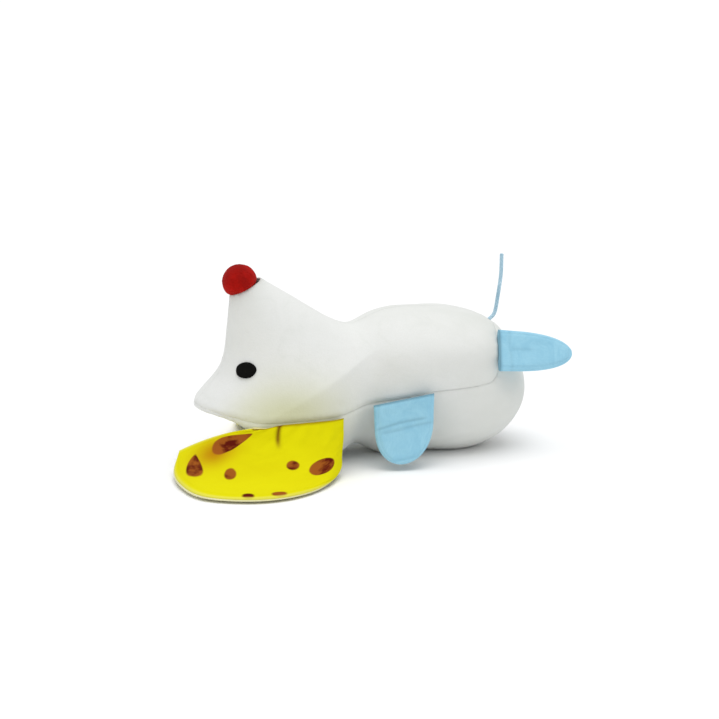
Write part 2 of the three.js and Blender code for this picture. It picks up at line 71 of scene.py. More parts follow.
def to_pattern(points):
    """Row-frame metres to pattern millimetres."""
    return np.asarray(points, float) / MM - SHIFT


# ------------------------------------------------------------------ camera
VIEW_TURN, VIEW_DROP, VIEW_DISTANCE = 20.0, 15.0, 1.0
LENS_MM, SENSOR_MM = 108.85, 36.0


def make_camera():
    turn, drop = math.radians(VIEW_TURN), math.radians(VIEW_DROP)
    ahead = Vector((math.sin(turn) * math.cos(drop), math.cos(turn) * math.cos(drop), -math.sin(drop)))
    aim = Vector(to_row([-26.97, 20.64, 37.96]))
    stand = Vector(to_row([0, 0, 0])) - ahead * VIEW_DISTANCE
    data = bpy.data.cameras.new("camera")
    data.lens, data.sensor_width = LENS_MM, SENSOR_MM
    data.clip_start, data.clip_end = 0.05, 60
    camera = bpy.data.objects.new("camera", data)
    camera.location = stand
    camera.rotation_euler = (aim - stand).to_track_quat("-Z", "Y").to_euler()
    bpy.context.scene.collection.objects.link(camera)
    bpy.context.scene.camera = camera


make_camera()


# ------------------------------------------------------------------ materials
def srgb(r, g, b):
    """A colour, 0 to 255, as linear RGBA."""
    def linear(c):
        c /= 255
        return c / 12.92 if c <= 0.04045 else ((c + 0.055) / 1.055) ** 2.4
    return (linear(r), linear(g), linear(b), 1.0)


class Nodes:
    """Short calls for building a node tree."""

    def __init__(self, name):
        self.material = bpy.data.materials.new(name)
        self.material.use_nodes = True
        self.tree = self.material.node_tree
        self.shader = self.tree.nodes["Principled BSDF"]

    def add(self, kind, values=(), **settings):
        node = self.tree.nodes.new(kind)
        for key, value in settings.items():
            setattr(node, key, value)
        for socket, value in dict(values).items():
            if isinstance(value, bpy.types.NodeSocket):
                self.tree.links.new(value, node.inputs[socket])
            else:
                node.inputs[socket].default_value = value
        return node

    def coordinates(self, source, stretch=(1, 1, 1)):
        place = self.add("ShaderNodeTexCoord")
        out = place.outputs["UV" if source == "uv" else "Object"]
        return self.add("ShaderNodeMapping", {"Vector": out, "Scale": stretch}).outputs[0]

    def noise(self, where, scale, detail=3.0, roughness=0.6, distortion=0.0):
        values = {"Vector": where, "Scale": scale, "Detail": detail, "Roughness": roughness,
                  "Distortion": distortion}
        return self.add("ShaderNodeTexNoise", values).outputs["Fac"]

    def math(self, operation, a, b=0.0, clamp=False):
        return self.add("ShaderNodeMath", {0: a, 1: b}, operation=operation, use_clamp=clamp).outputs[0]

    def span(self, value, low, high, to_low=0.0, to_high=1.0, smooth=True):
        values = {0: value, 1: low, 2: high, 3: to_low, 4: to_high}
        kind = "SMOOTHSTEP" if smooth else "LINEAR"
        return self.add("ShaderNodeMapRange", values, interpolation_type=kind).outputs[0]

    def mix(self, amount, a, b, how="MIX"):
        values = {"Factor": amount, 6: a, 7: b}
        return self.add("ShaderNodeMix", values, data_type="RGBA", blend_type=how).outputs[2]

    def attribute(self, name):
        return self.add("ShaderNodeAttribute", attribute_name=name).outputs["Fac"]

    def finish(self, colour, rough, height=None, depth=0.0002, strength=0.4, **values):
        tree = self.tree
        tree.links.new(colour, self.shader.inputs["Base Color"])
        if isinstance(rough, bpy.types.NodeSocket):
            tree.links.new(rough, self.shader.inputs["Roughness"])
        else:
            self.shader.inputs["Roughness"].default_value = rough
        if height is not None:
            bump = self.add("ShaderNodeBump", {"Strength": strength, "Distance": depth, "Height": height})
            tree.links.new(bump.outputs[0], self.shader.inputs["Normal"])
        for key, value in values.items():
            self.shader.inputs[key.replace("_", " ")].default_value = value
        return self.material


def short_pile(name, base, shade, source="object", sheen=0.25, pile=1500.0, mottling=24.0, seam=None,
               bump=0.35):
    """Short-pile cloth: pile direction, loose fibres, slight soiling and worn-down patches; with a seam
    attribute, also painted yellow bounce light from the ears and painted shade along the seams.
    """
    n = Nodes(name)
    where = n.coordinates(source)
    broad = n.noise(where, mottling, 4.0, 0.55, 0.3)
    brushed = n.noise(n.coordinates(source, (1.0, 0.35, 1.0)), mottling * 9, 3.0, 0.6, 0.6)
    fibre = n.noise(where, pile, 2.0, 0.7, 0.2)
    fleck = n.noise(where, pile * 0.4, 2.0, 0.5)
    colour = n.mix(n.span(broad, 0.38, 0.68), base, shade)
    colour = n.mix(n.math("MULTIPLY", n.span(brushed, 0.5, 0.72), 0.35), colour, shade)
    colour = n.mix(n.math("MULTIPLY", n.span(fibre, 0.42, 0.62), 0.22), colour, shade)
    if seam:
        # Painted yellow bounce light: the white cloth beside the ears is tinted olive yellow.
        colour = n.mix(n.math("MULTIPLY", n.attribute("painted_yellow_bounce"), 0.8), colour, srgb(206, 207, 160))
        # Painted shade: the cloth darkens along the seam grooves and round the foot of the nose.
        seam_shade_colour = tuple(0.62 * c for c in shade[:3]) + (1.0,)
        colour = n.mix(n.math("MULTIPLY", n.attribute(seam), 0.75), colour, seam_shade_colour)
    height = n.math("ADD", n.math("MULTIPLY", fibre, 0.7), n.math("MULTIPLY", fleck, 0.6))
    height = n.math("ADD", height, n.math("MULTIPLY", brushed, 0.5))
    rough = n.span(brushed, 0.3, 0.7, 0.86, 0.98)
    return n.finish(colour, rough, height, 0.00025, bump, Sheen_Weight=sheen, Sheen_Roughness=0.5,
                    Specular_IOR_Level=0.15)


def felt(name, base, shade, source="uv", sheen=0.15):
    """Pressed felt: matted fibres in all directions and creases that catch shade."""
    n = Nodes(name)
    where = n.coordinates(source)
    mat = n.noise(where, 90.0, 5.0, 0.65, 1.2)
    hairs = n.noise(n.coordinates(source, (1.0, 0.22, 1.0)), 1400.0, 2.0, 0.6, 1.5)
    hairs_across = n.noise(n.coordinates(source, (0.22, 1.0, 1.0)), 1400.0, 2.0, 0.6, 1.5)
    colour = n.mix(n.span(mat, 0.36, 0.66), base, shade)
    colour = n.mix(n.math("MULTIPLY", n.span(hairs, 0.45, 0.65), 0.35), colour, shade)
    # Painted shade: darker in the creases, along the topstitching and along the sewn edge.
    crease_shade = tuple(0.55 * c for c in shade[:3]) + (1.0,)
    colour = n.mix(n.math("MULTIPLY", n.attribute("crease_shade"), 0.8), colour, crease_shade)
    height = n.math("ADD", hairs, hairs_across)
    height = n.math("ADD", height, n.math("MULTIPLY", mat, 1.5))
    return n.finish(colour, 0.95, height, 0.0002, 0.35, Sheen_Weight=sheen, Sheen_Roughness=0.6,
                    Specular_IOR_Level=0.12)


def spotted_print(name, base, shade, spot, spot_dark, cup_shade_colour):
    """Yellow cloth printed with brown spots, with painted shade, darker and warmer, down in the ear's cupped
    middle under the head, painted shade along the tuck and the sewn edge, and a painted highlight along the
    rim.
    """
    n = Nodes(name)
    where = n.coordinates("uv")
    edge = n.noise(where, 130.0, 3.0, 0.6)
    broad = n.noise(where, 30.0, 4.0, 0.6, 0.4)
    weave = n.noise(where, 1300.0, 2.0, 0.7)
    colour = n.mix(n.span(broad, 0.35, 0.7), base, shade)
    colour = n.mix(n.math("MULTIPLY", n.span(weave, 0.45, 0.65), 0.2), colour, shade)
    # Painted shade, darker and warmer, down in the ear's cupped middle under the head.
    colour = n.mix(n.attribute("painted_cup_shade"), colour, cup_shade_colour)
    wobble = n.math("MULTIPLY", n.math("SUBTRACT", edge, 0.5), 1.1)
    inside = n.span(n.math("ADD", n.attribute("spots"), wobble), 0.45, -0.35)
    ink = n.mix(n.span(edge, 0.42, 0.62), spot, spot_dark)
    colour = n.mix(inside, colour, ink)
    # Painted shade down in the tuck and a painted shadow along the sewn edge under the head.
    colour = n.mix(n.math("MULTIPLY", n.attribute("crease_shade"), 0.9), colour, srgb(120, 62, 12))
    # Painted highlight: the outer rim is lightened where its edge catches the light.
    colour = n.mix(n.attribute("rim"), colour, srgb(232, 228, 96))
    height = n.math("ADD", weave, n.math("MULTIPLY", edge, 0.6))
    return n.finish(colour, 0.85, height, 0.0002, 0.3, Sheen_Weight=0.0, Specular_IOR_Level=0.08)


def moulded(name, base, shade, rough=0.42):
    n = Nodes(name)
    where = n.coordinates("object")
    flow = n.noise(where, 120.0, 3.0, 0.5, 1.0)
    grain = n.noise(where, 2500.0, 2.0, 0.6)
    scuff = n.noise(n.coordinates("object", (1.0, 0.1, 1.0)), 500.0, 2.0, 0.7)
    colour = n.mix(n.span(flow, 0.35, 0.7), base, shade)
    colour = n.mix(n.math("MULTIPLY", n.span(scuff, 0.6, 0.75), 0.3), colour, shade)
    return n.finish(colour, n.span(scuff, 0.35, 0.7, rough - 0.08, rough + 0.15), grain, 0.00005, 0.15)


def metal(name, base, shade, rough=0.32, stretch=(1.0, 0.05, 1.0)):
    n = Nodes(name)
    turned = n.noise(n.coordinates("object", stretch), 3000.0, 2.0, 0.7)
    stain = n.noise(n.coordinates("object"), 180.0, 4.0, 0.6)
    colour = n.mix(n.span(stain, 0.4, 0.75), base, shade)
    return n.finish(colour, n.span(turned, 0.3, 0.7, rough - 0.08, rough + 0.14), turned, 0.00004, 0.2,
                    Metallic=1.0)


def braid(name, base, shade):
    n = Nodes(name)
    where = n.coordinates("uv")
    fibre = n.noise(n.coordinates("uv", (1.0, 0.25, 1.0)), 900.0, 2.0, 0.7, 0.5)
    broad = n.noise(where, 120.0, 3.0, 0.6)
    colour = n.mix(n.span(broad, 0.35, 0.65), base, shade)
    # Painted shade down in the grooves between the braided strands.
    colour = n.mix(n.math("MULTIPLY", n.attribute("crease_shade"), 0.7), colour, shade)
    return n.finish(colour, 0.9, fibre, 0.0001, 0.3, Sheen_Weight=0.15, Specular_IOR_Level=0.15)


def fibre_fill(name):
    n = Nodes(name)
    where = n.coordinates("object")
    clump = n.noise(where, 110.0, 5.0, 0.7, 2.5)
    strand = n.noise(n.coordinates("object", (1.0, 0.2, 0.6)), 900.0, 3.0, 0.8, 3.0)
    colour = n.mix(n.span(clump, 0.35, 0.7), srgb(246, 246, 243), srgb(214, 214, 210))
    height = n.math("ADD", clump, n.math("MULTIPLY", strand, 0.5))
    return n.finish(colour, 0.95, height, 0.002, 0.7, Sheen_Weight=0.3)


WHITE = short_pile("white_velour", srgb(233, 234, 231), srgb(222, 224, 219), seam="seam", sheen=0.12,
                   mottling=14.0)
RED = short_pile("red_plush", srgb(180, 14, 4), srgb(140, 8, 2), sheen=0.02, pile=900.0, mottling=70.0,
                 bump=0.8)
BLACK = short_pile("black_felt", srgb(9, 9, 7), srgb(5, 5, 4), sheen=0.0, pile=1600.0, mottling=200.0)
BLUE = felt("blue_felt", srgb(160, 212, 233), srgb(146, 201, 225), sheen=0.08)
YELLOW = spotted_print("yellow_print", srgb(226, 219, 3), srgb(220, 210, 1), srgb(158, 86, 26),
                       srgb(94, 18, 4), srgb(184, 112, 1))
CREAM = short_pile("cream_backing", srgb(236, 232, 188), srgb(222, 214, 150), source="uv", sheen=0.15)
CORD_CLOTH = braid("blue_cord", srgb(204, 232, 246), srgb(160, 196, 214))
FILL = fibre_fill("polyester_fill")
CASE = moulded("case_plastic", srgb(222, 222, 214), srgb(206, 206, 196))
GEAR = moulded("gear_plastic", srgb(243, 243, 238), srgb(228, 228, 220), 0.3)
STEEL = metal("bright_steel", srgb(196, 198, 200), srgb(160, 163, 166))
SPRING = metal("spring_steel", srgb(132, 136, 142), srgb(92, 88, 86), 0.36)


# ------------------------------------------------------------------ mesh helpers
def add_mesh(name, points, faces, material, uv=None, attributes=None, smooth=True):
    """A mesh object from row-frame metres. uv is one pair for each vertex."""
    mesh = bpy.data.meshes.new(name)
    mesh.from_pydata([tuple(p) for p in points], [], [tuple(int(i) for i in f) for f in faces])
    mesh.update()
    if uv is not None:
        layer = mesh.uv_layers.new(name="pattern")
        corner = np.zeros(len(mesh.loops), np.int64)
        mesh.loops.foreach_get("vertex_index", corner)
        layer.data.foreach_set("uv", np.asarray(uv, np.float32)[corner].ravel())
    for key, values in (attributes or {}).items():
        layer = mesh.attributes.new(key, "FLOAT", "POINT")
        layer.data.foreach_set("value", np.asarray(values, np.float32))
    if smooth:
        mesh.polygons.foreach_set("use_smooth", [True] * len(mesh.polygons))
    mesh.materials.append(material)
    obj = bpy.data.objects.new(name, mesh)
    bpy.context.scene.collection.objects.link(obj)
    return obj


def bumps(points, wavelength, seed):
    """Smooth noise from -1 to 1 at points in millimetres."""
    offset = Vector((seed * 17.3, seed * 5.1, seed * 9.7))
    return np.array([noise.noise(Vector(p) / wavelength + offset) for p in points])


def ramp(x, low, high):
    t = np.clip((np.asarray(x, float) - low) / (high - low), 0, 1)
    return t * t * (3 - 2 * t)


def bell(distance, width):
    return np.exp(-((np.asarray(distance) / width) ** 2))


def spline(points):
    """A centripetal curve through points, evaluated by share of its length."""
    p = np.array(points, float)
    p = np.vstack([2 * p[0] - p[1], p, 2 * p[-1] - p[-2]])
    pieces = []
    for p0, p1, p2, p3 in zip(p[:-3], p[1:-2], p[2:-1], p[3:]):
        d0, d1, d2 = (max(np.linalg.norm(b - a) ** 0.5, 1e-4) for a, b in ((p0, p1), (p1, p2), (p2, p3)))
        t1 = ((p1 - p0) / d0 - (p2 - p0) / (d0 + d1) + (p2 - p1) / d1) * d1
        t2 = ((p2 - p1) / d1 - (p3 - p1) / (d1 + d2) + (p3 - p2) / d2) * d1
        t = np.linspace(0, 1, 40, endpoint=False)[:, None]
        pieces.append(p1 + t1 * t + (-3 * p1 + 3 * p2 - 2 * t1 - t2) * t ** 2
                      + (2 * p1 - 2 * p2 + t1 + t2) * t ** 3)
    line = np.vstack(pieces + [p[-2][None]])
    length = np.r_[0, np.cumsum(np.linalg.norm(np.diff(line, axis=0), axis=1))]

    def at(share):
        want = np.clip(np.asarray(share, float), 0, 1) * length[-1]
        return np.stack([np.interp(want, length, line[:, k]) for k in range(line.shape[1])], -1)
    at.length, at.line = length[-1], line
    return at


# ------------------------------------------------------------------ the stuffed shape
BODY_TOP = ([-1.7, 0, 46.4], [37, 32.5, 19.2])
SEAT = ([9.5, 0, 26.8], [35.5, 29, 28.3], 12)
NECK = ([-19.4, 0, 31.4], [24.6, 27, 32.7], 14)
HEAD = ([-75.5, 0, 21], [36.2, 31, 23.5], 7)
SNOUT_A, SNOUT_B = np.array([-64.7, 0, 35.7]), np.array([-86.0, 0, 79.0])
SNOUT_RADII, SNOUT_NARROW, SNOUT_BLEND = (38, 8.3), 1.22, 17
INNER_CENTRE, RAY_STRETCH = np.array([-50.0, 0, 28.0]), np.array([75.0, 34.0, 38.0])
SIDE_SEAM = [
    [-130, 29.5], [-112, 28.5], [-100, 26.5], [-88, 24.4], [-75, 24.6], [-62, 24.8], [-51, 25],
    [-35, 28], [-21, 30.3], [-7, 32.2], [4, 33], [14, 33.7], [20.6, 34.9], [23.6, 38.6], [24.6, 48],
    [26.4, 55.3], [28.6, 58.2], [31, 66],
]
NOSE_CENTRE, NOSE_RADIUS, NOSE_SINK = np.array([-89.0, 0, 81.8]), 7.7, 3.0
SNOUT_AXIS = np.array([-0.435, 0, 0.9]) / np.linalg.norm([-0.435, 0, 0.9])


def ellipsoid_field(p, centre, radii):
    q, r = p - np.array(centre), np.array(radii, float)
    k0 = np.linalg.norm(q / r, axis=1)
    k1 = np.linalg.norm(q / (r * r), axis=1)
    return k0 * (k0 - 1) / np.maximum(k1, 1e-9)


def blend_min(a, b, k):
    h = np.maximum(k - np.abs(a - b), 0) / k
    return np.minimum(a, b) - h ** 3 * k / 6


def toy_field(p):
    """Signed distance-like field of the stuffed shape, in millimetres, below 0 inside."""
    f = ellipsoid_field(p, *BODY_TOP)
    for centre, radii, blend in (SEAT, NECK, HEAD):
        f = blend_min(f, ellipsoid_field(p, centre, radii), blend)
    q, axis = p * np.array([1, SNOUT_NARROW, 1]), SNOUT_B - SNOUT_A
    t = np.clip((q - SNOUT_A) @ axis / (axis @ axis), 0, 1)
    snout = np.linalg.norm(q - SNOUT_A - t[:, None] * axis, axis=1)
    f = blend_min(f, snout - (SNOUT_RADII[0] + (SNOUT_RADII[1] - SNOUT_RADII[0]) * t), SNOUT_BLEND)
    crown = 25.0 - 0.1 * (p[:, 0] + 100) - p[:, 2]
    nape = 0.7 * (15.7 - (p[:, 0] + 88) - p[:, 2])
    f = -blend_min(-f, -blend_min(crown, nape, 8), 5)
    return -blend_min(-f, p[:, 2], 1.2)


def outward(p, step=0.05):
    grad = np.stack([toy_field(p + step * e) - toy_field(p - step * e) for e in np.eye(3)], 1)
    return grad / np.linalg.norm(grad, axis=1)[:, None]


def cast(origin, directions, near=2.0, far=140.0):
    """The outermost points where rays cross the stuffed shape."""
    origin = np.broadcast_to(np.asarray(origin, float), directions.shape)
    steps = np.arange(near, far, 1.0)
    found = np.full(len(directions), near)
    for reach in steps:
        inside = toy_field(origin + directions * reach) < 0
        found[inside] = reach
    low, high = found, found + 1.0
    for _ in range(20):
        middle = (low + high) / 2
        inside = toy_field(origin + directions * middle[:, None]) < 0
        low, high = np.where(inside, middle, low), np.where(inside, high, middle)
    return origin + directions * low[:, None]


def side_point(x, z, side):
    """The point of the shape's side at x and z, on the right for side -1 and the left for side 1."""
    start = np.stack([x, np.zeros_like(x), z], 1)
    return cast(start, np.tile([0.0, float(side), 0.0], (len(x), 1)), 1.0, 50.0)


SEAM_AT = spline(SIDE_SEAM)
SEAM_LINE = SEAM_AT(np.linspace(0, 1, 240))


def seam_distance(points):
    """Signed distance in X and Z from the side seam, above 0 on the face and belly side, and the seam's
    own direction across."""
    p = points[:, [0, 2]]
    a, b = SEAM_LINE[:-1], SEAM_LINE[1:]
    best = np.full(len(p), 1e9)
    sign, across, along = np.ones(len(p)), np.zeros((len(p), 2)), np.zeros(len(p))
    start = 0.0
    for s, e in zip(a, b):
        d = e - s
        size = np.linalg.norm(d)
        t = np.clip((p - s) @ d / size ** 2, 0, 1)
        gap = p - s - t[:, None] * d
        distance = np.linalg.norm(gap, axis=1)
        nearer = distance < best
        best[nearer] = distance[nearer]
        left = np.array([-d[1], d[0]]) / size
        sign[nearer] = np.where(gap[nearer] @ left >= 0, 1.0, -1.0)
        across[nearer] = left
        along[nearer] = start + t[nearer] * size
        start += size
    return best * sign, across, along


def split_along(points, faces, values, keep):
    """Cuts triangles along values = 0, and carries each array of keep along."""
    values = np.where(np.abs(values) < 0.06, 0.0, values)
    signs = np.sign(values).astype(int)
    face_signs = signs[np.asarray(faces)]
    crossed = (face_signs.max(1) > 0) & (face_signs.min(1) < 0)
    points, values = [tuple(p) for p in points], list(values)
    kept = {k: list(v) for k, v in keep.items()}
    made, out = {}, [tuple(f) for f in np.asarray(faces)[~crossed]]

    def crossing(i, j):
        key = (min(i, j), max(i, j))
        if key not in made:
            t = values[i] / (values[i] - values[j])
            points.append(tuple(np.array(points[i]) * (1 - t) + np.array(points[j]) * t))
            values.append(0.0)
            for v in kept.values():
                v.append(v[i] * (1 - t) + v[j] * t)
            made[key] = len(points) - 1
        return made[key]

    for face in np.asarray(faces)[crossed]:
        s = signs[face]
        ring = []
        for k in range(3):
            i, j = face[k], face[(k + 1) % 3]
            ring.append(i)
            if s[k] * s[(k + 1) % 3] < 0:
                ring.append(crossing(i, j))
        for side in (1, -1):
            part = [i for i in ring if values[i] * side >= 0]
            for k in range(1, len(part) - 1):
                out.append((part[0], part[k], part[k + 1]))
    return np.array(points), np.array(out), np.array(values), {k: np.array(v) for k, v in kept.items()}


def make_skin():
    """The fine skin of the toy, cut along its seams and with loops beside them."""
    ball = bmesh.new()
    bmesh.ops.create_icosphere(ball, subdivisions=7, radius=1.0)
    start = np.array([v.co for v in ball.verts])
    faces = np.array([[v.index for v in f.verts] for f in ball.faces])
    ball.free()
    directions = start * RAY_STRETCH
    directions /= np.linalg.norm(directions, axis=1)[:, None]
    points = cast(INNER_CENTRE, directions)
    foot = NOSE_CENTRE - SNOUT_AXIS * NOSE_SINK
    for level in (0.0, -1.2, -3.0):
        value = (points - foot) @ SNOUT_AXIS - level
        points, faces, value, _ = split_along(points, faces, value, {})
    for level in (0.0, 0.7, -0.7, 1.6, -1.6):
        distance, _, _ = seam_distance(points)
        points, faces, _, _ = split_along(points, faces, distance - level, {})
    for level in (0.0, 0.7, -0.7):
        points, faces, _, _ = split_along(points, faces, points[:, 1] - level, {})
    return points, faces


def shaped(points):
    """Moves the skin in along the seams, puckers it beside them, gives it the unevenness of filling, and
    works out painted shade along the seams and round the nose.
    """
    normal = outward(points)
    flat, across, along = seam_distance(points)
    across3 = np.stack([across[:, 0], np.zeros(len(points)), across[:, 1]], 1)
    slope = np.sqrt(np.maximum(1 - np.sum(normal * across3, axis=1) ** 2, 0.05))
    side = flat / slope
    middle = points[:, 1] / np.sqrt(np.maximum(1 - normal[:, 1] ** 2, 0.05))
    on_face = side > 0
    under_head = np.maximum(ramp(-points[:, 0], 45.0, 62.0), ramp(points[:, 2], 36.0, 40.0))
    groove = (0.34 - 0.14 * under_head) * bell(side, 0.7) + np.where(on_face, 0.1 * bell(middle, 0.6), 0)
    puff = 0.22 * bell(np.abs(side) - 2.4, 1.6)
    phase = along * 1.55 + 2.2 * np.sin(along * 0.37)
    pucker = 0.14 * np.sin(phase) * bell(side, 3.2) * ramp(np.abs(side), 0.3, 1.4)
    lumps = 0.42 * bumps(points, 24.0, 1) + 0.16 * bumps(points, 9.0, 2) + 0.05 * bumps(points, 2.6, 3)
    resting = ramp(points[:, 2], 0.3, 6.0)
    at_nose = (points - (NOSE_CENTRE - SNOUT_AXIS * NOSE_SINK)) @ SNOUT_AXIS
    tuck = 0.5 * bell(at_nose, 0.9)
    lift = (puff + pucker + lumps - 0.1) * resting - groove - tuck
    # Painted shade along the seam grooves, a little along the middle seam of the face, and round the foot of
    # the nose.
    shade = np.clip((0.3 - 0.2 * under_head) * bell(side, 0.4)
                    + np.where(on_face, 0.04 * bell(middle, 0.4), 0) + 0.4 * bell(at_nose, 0.6), 0, 1)
    return points + normal * lift[:, None], normal, side, shade


def yellow_bounce_amount(points):
    """How much painted yellow bounce light from the ears falls on the white cloth beside them."""
    near = bell(points[:, 0] + 76, 24.0) * bell(np.minimum(points[:, 2] - 26.0, 0) * 0.4
                                                + np.maximum(points[:, 2] - 26.0, 0), 15.0)
    return near * ramp(np.abs(points[:, 1]), 12.0, 26.0)


def shell(name, points, normals, faces, shade, thickness, material):
    """A closed cloth panel: the outer face, the inner face under it, and the turned-in edge."""
    used = np.unique(faces)
    index = np.full(len(points), -1)
    index[used] = np.arange(len(used))
    outer, faces = points[used], index[faces]
    inner = outer - normals[used] * thickness
    n = len(used)
    edges = {}
    for face in faces:
        for k in range(3):
            edges[(face[k], face[(k + 1) % 3])] = True
    rim = [(i, j) for i, j in edges if (j, i) not in edges]
    walls = [(j, i, i + n, j + n) for i, j in rim]
    every = [tuple(f) for f in faces] + [(f[2] + n, f[1] + n, f[0] + n) for f in faces] + walls
    # The first attribute carries painted shade along the seams and round the nose, the second painted yellow
    # bounce light from the ears.
    return add_mesh(name, to_row(np.vstack([outer, inner])), every, material,
                    attributes={"seam": np.r_[shade[used], shade[used]],
                                "painted_yellow_bounce": np.tile(yellow_bounce_amount(outer), 2)})


def make_covers():
    points, faces = make_skin()
    moved, normals, side, shade = shaped(points)
    foot = NOSE_CENTRE - SNOUT_AXIS * NOSE_SINK
    centre = points[faces].mean(1)
    under_nose = (centre - foot) @ SNOUT_AXIS < 0
    flat, _, _ = seam_distance(centre)
    parts = {
        "face_belly_cloth_right": under_nose & (flat > 0) & (centre[:, 1] < 0),
        "face_belly_cloth_left": under_nose & (flat > 0) & (centre[:, 1] >= 0),
        "back_cloth": under_nose & (flat <= 0),
    }
    nodes = ("face_belly_panel_right", "face_belly_panel_left", "back_panel")
    for (name, chosen), node in zip(parts.items(), nodes):
        cloth = shell(name, moved, normals, faces[chosen], shade, 0.8, WHITE)
        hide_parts(node)
        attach(cloth, "toy")


# ------------------------------------------------------------------ pull cord
CORD_MM = 1.8
CORD_EXIT = [28.6, 0, 57.5]
CORD_LAY = [[30.9, 0, 59.6], [32, 0, 62.6], [32.7, 0, 67], [33.4, 0, 72.5], [34, 0, 78], [34.5, 0, 87.4]]
CORD_STRANDS = 4
CORD_PITCH = 7.0


def tube(name, line, radius, sides, material, relief=0.0, pitch=CORD_PITCH):
    """A closed braided tube round a line in pattern millimetres."""
    tangent = np.gradient(line, axis=0)
    tangent /= np.linalg.norm(tangent, axis=1)[:, None]
    first = np.cross(tangent, [0.0, 1.0, 0.0])
    first /= np.linalg.norm(first, axis=1)[:, None]
    second = np.cross(tangent, first)
    run = np.r_[0, np.cumsum(np.linalg.norm(np.diff(line, axis=0), axis=1))]
    angle = np.linspace(0, 2 * np.pi, sides, endpoint=False)
    a, s = np.meshgrid(angle, run)
    turn = 2 * np.pi * s / pitch
    cross = np.abs(np.sin(CORD_STRANDS * (a + turn) / 2)) * np.abs(np.sin(CORD_STRANDS * (a - turn) / 2))
    r = radius * (1 + relief * (cross - 0.75))
    rings = (line[:, None] + first[:, None] * (np.cos(a) * r)[..., None]
             + second[:, None] * (np.sin(a) * r)[..., None])
    points = rings.reshape(-1, 3)
    faces = []
    for i in range(len(line) - 1):
        for j in range(sides):
            k = (j + 1) % sides
            faces.append((i * sides + j, i * sides + k, (i + 1) * sides + k, (i + 1) * sides + j))
    ends = np.vstack([line[0] - tangent[0] * 0.3 * radius, line[-1] + tangent[-1] * 0.3 * radius])
    last = len(points)
    for j in range(sides):
        k = (j + 1) % sides
        faces.append((last, k, j))
        faces.append((last + 1, last - sides + j, last - sides + k))
    points = np.vstack([points, ends])
    uv = np.stack([(a * radius).ravel(), s.ravel()], 1) * MM * 1.0
    uv = np.vstack([uv, uv[:1], uv[-1:]])
    # Painted shade in the grooves between the strands.
    crease_shade = np.r_[1 - ramp(cross.ravel(), 0.0, 0.5), 0, 0]
    obj = add_mesh(name, to_row(points), faces, material, uv, {"crease_shade": crease_shade})
    mesh = bmesh.new()
    mesh.from_mesh(obj.data)
    bmesh.ops.recalc_face_normals(mesh, faces=mesh.faces)
    mesh.to_mesh(obj.data)
    mesh.free()
    return obj


PULL_RADIUS = 8.8


def make_cord():
    free = spline([CORD_EXIT] + CORD_LAY)
    line = free(np.linspace(0, 1, 150))
    line[:, 1] += 0.35 * np.sin(np.linspace(0, 1, 150) * 7.0) * ramp(np.linspace(0, 1, 150), 0, 0.3)
    outside = tube("pull_cord_free", line, CORD_MM / 2, 28, CORD_CLOTH, 0.22)
    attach(outside, "cord")
    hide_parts("pull_cord")
    path = to_row(np.vstack([line[::6], line[-1:]]))
    tuple(path[0])
    [tuple(p) for p in path]
    pull = np.array(JOINTS["cord_pull"]["axis"], float)
    drum = to_pattern(JOINTS["drum_spin"]["pos_m"])
    tangent_point = np.array([drum[0] - pull[2] * PULL_RADIUS, 0.0, drum[2] + pull[0] * PULL_RADIUS])
    inside_line = np.linspace(tangent_point, np.array(CORD_EXIT) + pull * 0.2, 60)
    inside = tube("pull_cord_inside", inside_line, CORD_MM / 2 * 0.94, 20, CORD_CLOTH, 0.2)
    tuple(to_row(tangent_point))
    tuple(to_row(CORD_EXIT))
    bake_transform(inside)


make_cord()
make_covers()


# ------------------------------------------------------------------ nose and eyes
def make_nose():
    ball = bmesh.new()
    bmesh.ops.create_icosphere(ball, subdivisions=6, radius=1.0)
    unit = np.array([v.co for v in ball.verts])
    faces = [[v.index for v in f.verts] for f in ball.faces]
    ball.free()
    along = unit @ SNOUT_AXIS
    radius = NOSE_RADIUS * (1 + 0.012 * bumps(unit * 8, 3.5, 11)) + 0.13 * bumps(unit * 8, 0.55, 12)
    points = unit * radius[:, None]
    # the underside is gathered flat on the end of the snout
    low = -NOSE_SINK + 0.35
    depth = points @ SNOUT_AXIS
    flat = np.where(depth < low, low - 0.25 * np.sqrt(np.maximum(low - depth, 0)), depth)
    points = points + SNOUT_AXIS * (flat - depth)[:, None]
    around = points - (points @ SNOUT_AXIS)[:, None] * SNOUT_AXIS
    gather = 1 - 0.05 * bell(along + 0.36, 0.1)
    points = points + around * (gather - 1)[:, None]
    nose = add_mesh("nose_plush", to_row(points + NOSE_CENTRE), faces, RED)
    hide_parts("nose")
    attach(nose, "toy")


EYE_CENTRE = np.array([-90.7, -15.2, 45.3])
EYE_ACROSS = np.array([7.7, -7.9, 1.1])
EYE_HALF = (5.0, 3.6)


